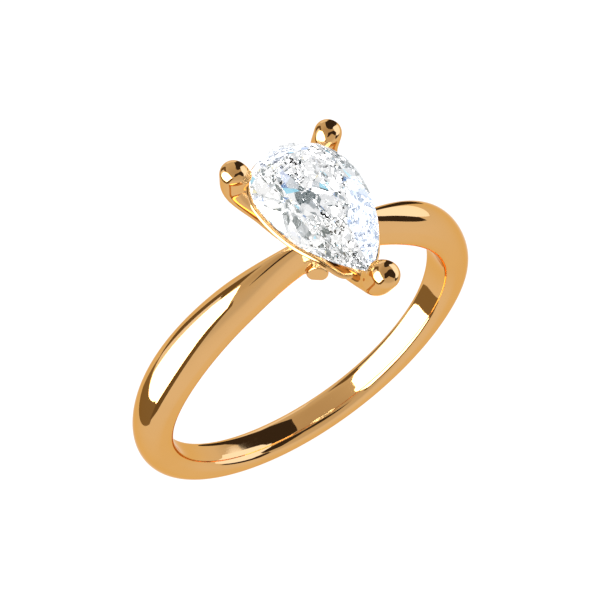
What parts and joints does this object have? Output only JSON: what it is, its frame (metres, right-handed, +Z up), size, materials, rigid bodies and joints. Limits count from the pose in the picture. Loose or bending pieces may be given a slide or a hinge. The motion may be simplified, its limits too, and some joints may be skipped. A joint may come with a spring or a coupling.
{
  "type": "engagement ring",
  "caption": "Solitaire ring with a tapering rounded band, three wire claws, a slim gallery rail and a pear-shaped stone.",
  "frame": {"origin": "centre of the finger bore, in the middle of the band's width", "axes": "+Y along the finger towards the stone's round end, +Z up to the stone, +X across the band"},
  "size_m": [0.021, 0.0103, 0.0232],
  "materials": {
    "gold": "mirror-polished rose gold",
    "stone": "polished facets"
  },
  "bodies": {
    "root": {"shank": "gold", "head_base": "gold", "claw_left": "gold", "claw_right": "gold", "claw_point": "gold", "gallery_rail": "gold", "diamond": "stone"}
  },
  "joints": []
}
